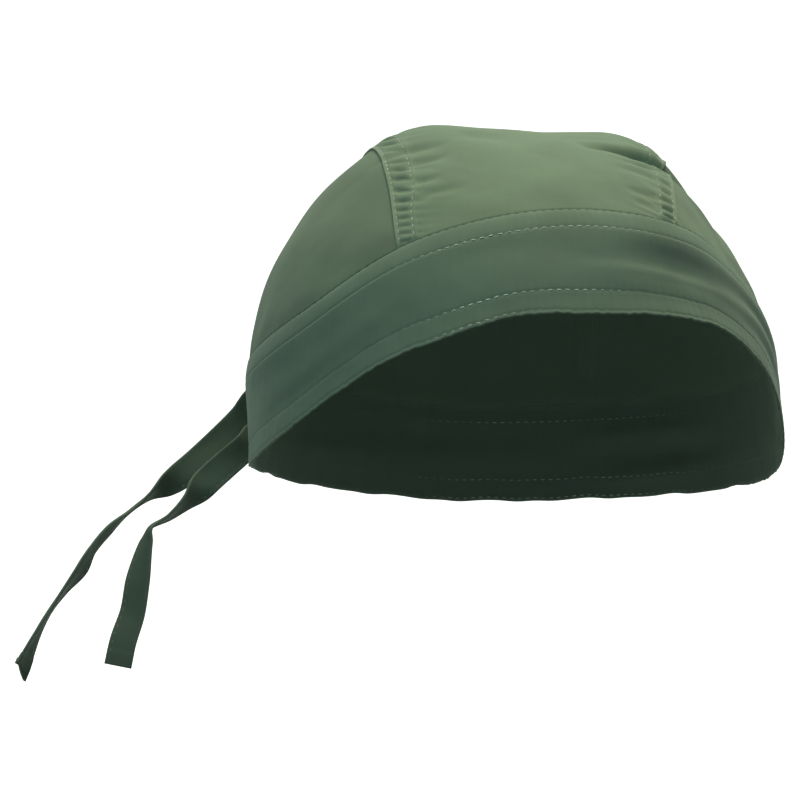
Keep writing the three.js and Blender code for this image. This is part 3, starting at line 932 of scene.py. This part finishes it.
crown_poplin = poplin("olive_poplin_crown", "#738873", "#7e957d", "#98ab90")
crown_panel.data.materials.append(crown_poplin)
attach(crown_panel, "root")
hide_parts("crown_center_panel")

# Crown side panels: two half-moons of the same poplin. Each is sewn into the band along its curved lower
# edge, and its upper edge runs on under the felled strip of the centre panel.
SIDE_TIP = 0.004
SIDE_PROBE = (5e-4, 1e-3)
FELL_LAP = 6.2 * MM
LAP_START = 0.5 * MM
LAP_RUN = 0.8 * MM
# the grid: columns, points of the lower edge, shares of the height where the tuck ends and the lap starts,
# steps in the three stretches, and the step that the length is measured on
SIDE_COLUMNS = 420
LOW_POINTS = 400
TUCK_TOP = 0.05
LAP_FOOT = 0.86
SIDE_STEPS = (12, 54, 24)
LENGTH_STEP = 20


def side_panel(name, side):
    """Half-moon ruled from the band's edge up to the lap under the centre panel: directions are mixed in a
    straight line from low to high and made unit length. Its relief is the crown's, dropped where the strip
    covers it."""
    def edge(arch):
        """Directions along the upper edge, a lap's width in from the strip's fold."""
        return over_head(arch, side * edge_lean(arch, side, -FELL_LAP))

    front, nape_end = (end[0] for end in arch_ends(lambda arch: edge(arch * np.ones(1)), -TUCK))
    corners = [np.arctan2(way[0], -way[1]) for way in edge(np.array([front, nape_end]))]
    low_angles = np.linspace(min(corners), max(corners), LOW_POINTS)
    low_rises = rise_above(low_angles, np.full(LOW_POINTS, BAND_WIDTH - TUCK))

    def way(run, up):
        """Directions over the half-moon: run from one corner to the other, up from low to high."""
        forward = run if side > 0 else 1 - run
        angle = corners[0] + (corners[1] - corners[0]) * forward
        low = towards(angle, np.interp(angle, low_angles, low_rises))
        high = edge(front + (nape_end - front) * forward)
        return unit(low + (high - low) * up[..., None])

    def place(run, up):
        """Smooth cloth under the half-moon."""
        return cloth(way(run, up))

    run = np.linspace(SIDE_TIP, 1 - SIDE_TIP, SIDE_COLUMNS)[:, None]
    rise = np.concatenate([
        np.linspace(0, TUCK_TOP, SIDE_STEPS[0])[:-1],
        np.linspace(TUCK_TOP, LAP_FOOT, SIDE_STEPS[1])[:-1],
        np.linspace(LAP_FOOT, 1, SIDE_STEPS[2]),
    ])
    share = np.repeat([1, 0], len(rise))
    run, up = np.broadcast_arrays(run, np.concatenate([rise, rise[::-1]]))
    ways = way(run, up)
    arch = np.arctan2(ways[..., 2], -ways[..., 1])
    outside = np.abs(ways[..., 0]) * form_reach(ways) - edge_distance(arch, side)
    drop = LAP_DROP * smooth_step((LAP_START - outside) / LAP_RUN)
    height = crown_relief(ways) - drop - (CROWN_WALL + seam_allowance(ways)) * (1 - share)
    points = place(run, up) + surface_normal(place, run, up, *SIDE_PROBE) * height[..., None]
    widest = lengths(points[len(points) // 2, :len(rise)])
    across = np.concatenate([widest, widest[::-1], [0]])
    piece = ring_mesh(name, points, lengths(points[:, LENGTH_STEP]), across, np.zeros(height.shape))
    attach(piece, "root")
    return piece


# the left panel's poplin is a darker copy of the crown's: painted shade for the side turned from the light
side_poplins = {-1: poplin("olive_poplin_left_panel_painted_shade", "#687b68", "#728771", "#8c9d85"), 1: crown_poplin}
for side, hand in ((-1, "left"), (1, "right")):
    half_moon = side_panel(f"crown_side_{hand}", side)
    half_moon.data.materials.append(side_poplins[side])
    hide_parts(f"crown_side_panel_{hand}")

# Ties: two narrow strips of the same poplin, coloured a darker copy of it as painted shade for the cap's
# shadow they hang in, folded and closed with a row of stitches along the open edge. They are caught in the
# band's upright join at the back left and hang free, twisting.
TIE_WIDTH = 9.5 * MM
TIE_WALL = 1.1 * MM
TIE_ROUND = 0.6 * MM
TIE_DIP = 0.1 * MM
TIE_ROW_INSET = 1.5 * MM
SEWN = slice(4, -6)
TIE_RUB = 0.5 * MM
# curl across the strip, and the share that balances it; sway along it: depth, wave, and turn across
TIE_CURL = 0.4 * MM
CURL_BALANCE = 0.33
TIE_SWAY = 0.3 * MM
TIE_SWAY_WAVE = 6.5 * MM
TIE_SWAY_TURN = 2.2
# hem of the cut end: length, extra height on each face, run of its step
TIE_HEM = 5 * MM
TIE_HEM_RISE = 0.18 * MM
TIE_HEM_STEP = 0.5 * MM
TIE_ROOT_LEAD = 3 * MM
TIE_ROOT_DROP = 0.3 * MM
TIE_ROOT_SINK = 0.4 * MM
TIE_STEPS = 14
TIE_POINTS = 42
TIE_EDGE_ANGLE = 0.05

# each tie: height of its root up the band, slant of its cut end, and rows of x, y, z and twist in degrees
TIES = {
    "tie_far": (25.5 * MM, -3 * MM, [
        (-80.5, 58, 32, 0), (-88, 56.5, 25, 0), (-100, 54, 15, 0), (-107, 52.5, 10.5, 30),
        (-113, 52, 7, 72), (-120, 51, 2, 86), (-127, 49.5, -3.5, 76), (-133, 48.5, -10, 73),
        (-137, 47.5, -16.5, 60), (-143, 47, -23.5, 74), (-148, 46, -30, 83), (-152.5, 45.5, -37.5, 78),
        (-158, 44.5, -48.5, 51),
    ]),
    "tie_near": (14 * MM, 0, [
        (-81, 50, 22, 8), (-88.5, 48, 16, 0), (-94.5, 47, 11, 0), (-101, 46, 5, 56),
        (-107.5, 45, 0, 73), (-114, 44, -3.5, 84), (-115.5, 43.5, -7.5, 106), (-117, 43, -12.5, 123),
        (-119, 42, -21, 145), (-121, 41.5, -31, 145), (-124.5, 40.5, -40.5, 151), (-126.5, 40, -48.5, 157),
    ]),
}


def through(rows, steps):
    """Smooth line through rows of numbers: a centripetal Catmull-Rom curve, with steps points for each
    stretch. Each row's slope is weighed by the square roots of the distances to its neighbours."""
    rows = np.concatenate([[2 * rows[0] - rows[1]], rows, [2 * rows[-1] - rows[-2]]])
    gap = np.linalg.norm(np.diff(rows, axis=0), axis=-1)[:, None] ** 0.5
    a, b, c, d = rows[:-3], rows[1:-2], rows[2:-1], rows[3:]
    before, here, after = gap[:-2], gap[1:-1], gap[2:]
    start = ((b - a) / before - (c - a) / (before + here) + (c - b) / here) * here
    end = ((c - b) / here - (d - b) / (here + after) + (d - c) / after) * here
    t = np.linspace(0, 1, steps, endpoint=False)[:, None, None]
    line = b + t * (start + t * (3 * (c - b) - 2 * start - end + t * (2 * (b - c) + start + end)))
    return np.concatenate([line.transpose(1, 0, 2).reshape(-1, rows.shape[1]), rows[-2:-1]])


def tie(name, root_up, slant, rows):
    """Strip carried along its path: the cross-section is a flat ring, curled as the square of the width, its
    edges round, with a dip under each row of stitches; it turns about the path by the rows' twist."""
    rows = np.array(rows, float)
    root = band_place(np.array([JOIN_ANGLE]), np.array([root_up]))[0]
    out = band_normal(np.array([JOIN_ANGLE]), np.array([root_up]))[0]
    lead = root + out * (BAND_PROUD + TIE_ROOT_LEAD) - np.array([0, 0, TIE_ROOT_DROP])
    line = through(np.concatenate([[root - out * TIE_ROOT_SINK, lead], rows[:, :3] * MM]), TIE_STEPS)
    twists = np.concatenate([[0, 0], np.radians(rows[:, 3])])
    turn = through(np.stack([np.arange(len(twists)), twists], -1), TIE_STEPS)[:, 1]
    way = unit(np.gradient(line, axis=0))
    front = unit(np.array([0, -1, 0]) + way * way[:, 1:2])
    thick = front * cos(turn)[:, None] - np.cross(way, front) * sin(turn)[:, None]
    wide = np.cross(way, thick)
    run = lengths(line)
    half = TIE_WIDTH / 2
    ahead = way * np.where(run == run[-1], slant, 0)[:, None]

    def on_strip(width, face):
        """Points at a distance from the strip's middle line, on its front (1) or back (-1): half the wall,
        rounded at the edges, thicker in the hem, with the dip, the curl and a sway along the strip."""
        inset = half - np.abs(width)
        bulge = np.sqrt(1 - np.clip(1 - inset / TIE_ROUND, 0, 1) ** 2)
        dip = TIE_DIP * bell(width + half - TIE_ROW_INSET, ROW_HALF)
        curl = TIE_CURL * ((width / half) ** 2 - CURL_BALANCE)
        sway = TIE_SWAY * sin(run / TIE_SWAY_WAVE)[:, None] * sin(width / half * TIE_SWAY_TURN)
        hem = TIE_HEM_RISE * smooth_step((run - run[-1] + TIE_HEM) / TIE_HEM_STEP)[:, None]
        depth = face * (TIE_WALL / 2 * bulge - dip) + face * bulge * hem + curl + sway
        flat = line[:, None] + wide[:, None] * width[:, None] + ahead[:, None] * (width / half)[:, None]
        return flat + thick[:, None] * depth[..., None]

    across = half * cos(np.linspace(TIE_EDGE_ANGLE, pi - TIE_EDGE_ANGLE, TIE_POINTS))
    width = np.concatenate([across, across[::-1]])
    rings = on_strip(width, np.repeat([1, -1], len(across)))
    wear_and_painted_light = np.broadcast_to(exp(-(half - np.abs(width)) / TIE_RUB), rings.shape[:2])
    piece = ring_mesh(name, rings, run, np.concatenate([width, width[:1]]), wear_and_painted_light)
    row = np.array([TIE_ROW_INSET - half])
    sewn = [(on_strip(row, face)[SEWN, 0], face * thick[SEWN], NEUTRAL_SHOW) for face in (1, -1)]
    return piece, sewn, run[-1]


# the ties' poplin is a darker copy of the crown's: painted shade
tie_poplin = poplin("olive_poplin_ties_painted_shade", "#4a5b4d", "#556859", "#6b7f70")
for name, (root_up, slant, rows) in TIES.items():
    strip, tie_rows, tie_length = tie(name.replace("tie", "loose_tie"), root_up, slant, rows)
    tie_stitching = stitches(f"{name}_stitching", tie_rows)
    strip.data.materials.append(tie_poplin)
    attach(strip, "root")
    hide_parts(name)

# Studio: a pale painted floor that sweeps up into a wall all round, one strong warm soft light overhead, and
# weak cool lights high up round about, so that the folds show and the hollow of the cap stays dark.
FLOOR_LEVEL = -0.2
FLOOR_REACH = (0.001, 1.0)
SWEEP_START = 2.2
SWEEP_RADIUS = 1.0
SWEEP_STEPS = 24
SWEEP_SIDES = 96
WALL_TOP = 3.0
bend = np.linspace(0, pi / 2, SWEEP_STEPS)
wall_reach = SWEEP_START + SWEEP_RADIUS
sweep_reach = np.concatenate([FLOOR_REACH, SWEEP_START + SWEEP_RADIUS * sin(bend), [wall_reach]])
sweep_height = np.concatenate([[0, 0], SWEEP_RADIUS * (1 - cos(bend)), [WALL_TOP]]) + FLOOR_LEVEL
sweep_turn = np.linspace(0, 2 * pi, SWEEP_SIDES, endpoint=False)[:, None]
sweep_points = np.stack(np.broadcast_arrays(
    sweep_reach * cos(sweep_turn), sweep_reach * sin(sweep_turn), sweep_height), -1)
reaches = len(sweep_reach)
si, sj = np.meshgrid(np.arange(SWEEP_SIDES), np.arange(reaches - 1), indexing="ij")
sweep_next = (si + 1) % SWEEP_SIDES
sweep_faces = np.stack([
    sweep_next * reaches + sj, sweep_next * reaches + sj + 1, si * reaches + sj + 1, si * reaches + sj,
], -1).reshape(-1, 4)
sweep_mesh = bpy.data.meshes.new("studio_sweep")
sweep_mesh.from_pydata(sweep_points.reshape(-1, 3), [], sweep_faces.tolist())
sweep_mesh.shade_smooth()
sweep = add_object("studio_sweep", sweep_mesh)
sweep.visible_diffuse = False
matt_paint = bpy.data.materials.new("matt_white_paint")
matt_paint.use_nodes = True
paint = matt_paint.node_tree.nodes["Principled BSDF"].inputs
paint["Base Color"].default_value = linear("#e8e8e6")
paint["Roughness"].default_value = 0.9
paint["Emission Color"].default_value = linear("#ffffff")
paint["Emission Strength"].default_value = 1.0
sweep_mesh.materials.append(matt_paint)

# each light: direction round from the front and height in degrees, distance, width, power in watts, colour
WARM = (1.0, 0.79, 0.6)
COOL = (0.7, 1.0, 0.97)
LIGHTS = {
    "overhead": (60, 80, 2.0, 1.2, 31, WARM),
    "front": (-5, 46, 2.3, 1.2, 6, COOL),
    "left": (-48, 42, 2.3, 1.2, 8, COOL),
    "right": (130, 42, 2.3, 1.2, 10, COOL),
    "back": (-150, 46, 2.3, 1.2, 5, COOL),
}
LIGHT_CENTRE = np.array([0, 0, 0.05])
LIGHT_LEVEL = np.array([0, 1, 0.001])
for name, (turn, height, distance, width, power, colour) in LIGHTS.items():
    lamp = bpy.data.lights.new(f"{name}_light", "AREA")
    lamp.shape = "DISK"
    lamp.size = width
    lamp.energy = power
    lamp.color = colour
    back = towards(np.radians(turn), np.radians(height))
    aside = unit(np.cross(LIGHT_LEVEL, back))
    light = add_object(f"{name}_light", lamp)
    light.location = back * distance + LIGHT_CENTRE
    light.rotation_euler = Matrix(np.stack([aside, np.cross(back, aside), back], -1).tolist()).to_euler()
world = bpy.data.worlds.new("studio")
world.use_nodes = True
ambient = world.node_tree.nodes["Background"].inputs
ambient["Color"].default_value = (*COOL, 1)
ambient["Strength"].default_value = 0.09
bpy.context.scene.world = world
bpy.context.scene.view_settings.view_transform = "Standard"

# Camera: level with the band, a little to the left of the front, far off, and rolled by under two degrees.
CAMERA_AZIMUTH = np.radians(-8.6)
CAMERA_ROLL = np.radians(1.8)
CAMERA_DISTANCE = 1.2
CAMERA_SHIFT = (-36.5 * MM, 35 * MM)
camera_back = towards(CAMERA_AZIMUTH, 0)
level_right = np.array([cos(CAMERA_AZIMUTH), sin(CAMERA_AZIMUTH), 0])
camera_right = cos(CAMERA_ROLL) * level_right - sin(CAMERA_ROLL) * np.array([0, 0, 1])
camera_up = np.cross(camera_back, camera_right)
camera_place = camera_right * CAMERA_SHIFT[0] + camera_up * CAMERA_SHIFT[1] + camera_back * CAMERA_DISTANCE
lens = bpy.data.cameras.new("camera")
lens.lens = 166.9
lens.sensor_width = 36
camera = add_object("camera", lens)
camera.location = camera_place
camera.rotation_euler = Matrix(np.stack([camera_right, camera_up, camera_back], -1).tolist()).to_euler()
bpy.context.scene.camera = camera
